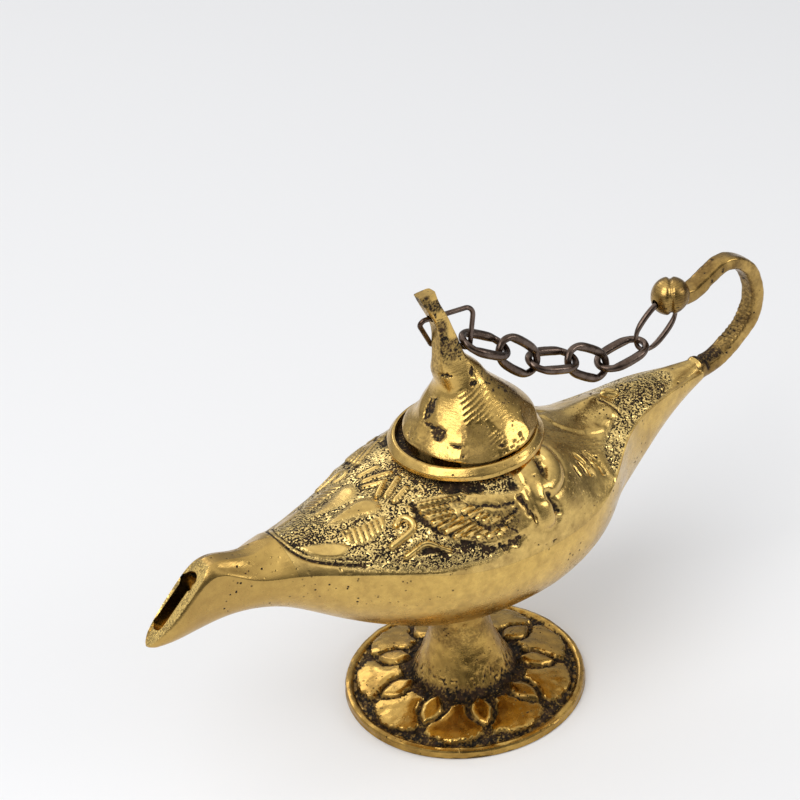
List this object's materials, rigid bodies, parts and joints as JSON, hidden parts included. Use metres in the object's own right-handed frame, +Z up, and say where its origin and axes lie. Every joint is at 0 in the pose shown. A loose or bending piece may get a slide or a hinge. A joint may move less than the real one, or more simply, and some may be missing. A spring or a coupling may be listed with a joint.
{
  "type": "genie oil lamp",
  "caption": "Cast brass oil lamp with a long spout, a looped handle, a lift-off lid with a leaning horn, a steel safety chain and a round flared foot.",
  "frame": {"origin": "centre of the foot's resting face", "axes": "+Z up, spout towards -X, handle towards +X"},
  "size_m": [0.1409, 0.046, 0.086],
  "materials": {
    "bowl_brass": "satin cast brass, filed and lightly pitted",
    "deck_brass": "cast relief with dark patina in its ground",
    "lid_brass": "filed and polished brass with dark pits",
    "foot_brass": "cast brass with dark patina between petals",
    "chain_steel": "dark gunmetal steel wire",
    "fastener_steel": "plain zinc-plated steel"
  },
  "bodies": {
    "lamp": {"foot": "foot_brass", "foot_bolt": "fastener_steel", "foot_washer": "fastener_steel", "foot_nut": "fastener_steel", "lower_bowl": "bowl_brass", "upper_deck": "deck_brass", "collar_ring": "lid_brass", "handle": "bowl_brass"},
    "lid": {"lid": "lid_brass"},
    "lid_ring": {"lid_ring": "chain_steel"},
    "handle_ring": {"handle_ring": "chain_steel"},
    "chain_link_5": {"chain_link_5": "chain_steel"},
    "chain_link_4": {"chain_link_4": "chain_steel"},
    "chain_link_3": {"chain_link_3": "chain_steel"},
    "chain_link_2": {"chain_link_2": "chain_steel"},
    "chain_link_1": {"chain_link_1": "chain_steel"}
  },
  "joints": [
    {"name": "lid_lift", "type": "slide", "parent": "lamp", "child": "lid", "axis": [0, 0, 1], "range_m": [0, 0.0065]},
    {"name": "handle_ring_swing", "type": "hinge", "parent": "lamp", "child": "handle_ring", "pos_m": [0.05129, 0, 0.05974], "axis": [0, -1, 0], "range_deg": [-22.5, 0]},
    {"name": "chain_link_5_swing", "type": "hinge", "parent": "handle_ring", "child": "chain_link_5", "pos_m": [0.04663, 0, 0.05629], "axis": [0, -1, 0], "range_deg": [0, 8]},
    {"name": "chain_link_4_swing", "type": "hinge", "parent": "chain_link_5", "child": "chain_link_4", "pos_m": [0.03612, 0, 0.05533], "axis": [0, -1, 0], "range_deg": [0, 12]},
    {"name": "chain_link_3_swing", "type": "hinge", "parent": "chain_link_4", "child": "chain_link_3", "pos_m": [0.03004, 0, 0.05954], "axis": [0, -1, 0], "range_deg": [-6, 0]},
    {"name": "chain_link_2_swing", "type": "hinge", "parent": "chain_link_3", "child": "chain_link_2", "pos_m": [0.02004, 0, 0.06291], "axis": [0, -1, 0], "range_deg": [0, 8.5]},
    {"name": "chain_link_1_swing", "type": "hinge", "parent": "chain_link_2", "child": "chain_link_1", "pos_m": [0.01472, 0, 0.06805], "axis": [0, -1, 0], "range_deg": [-1.5, 0]},
    {"name": "lid_ring_swing", "type": "hinge", "parent": "lid", "child": "lid_ring", "pos_m": [0.00047, 0, 0.08049], "axis": [0.9933, 0, -0.1154], "range_deg": [0, 4]}
  ],
  "couplings": [
    {"joint": "handle_ring_swing", "follows": "lid_lift", "rad_per_m": -58.42},
    {"joint": "chain_link_5_swing", "follows": "lid_lift", "rad_per_m": 19.68},
    {"joint": "chain_link_4_swing", "follows": "lid_lift", "rad_per_m": 30.87},
    {"joint": "chain_link_3_swing", "follows": "lid_lift", "rad_per_m": -14.13},
    {"joint": "chain_link_2_swing", "follows": "lid_lift", "rad_per_m": 22.01},
    {"joint": "chain_link_1_swing", "follows": "lid_lift", "rad_per_m": -3}
  ]
}
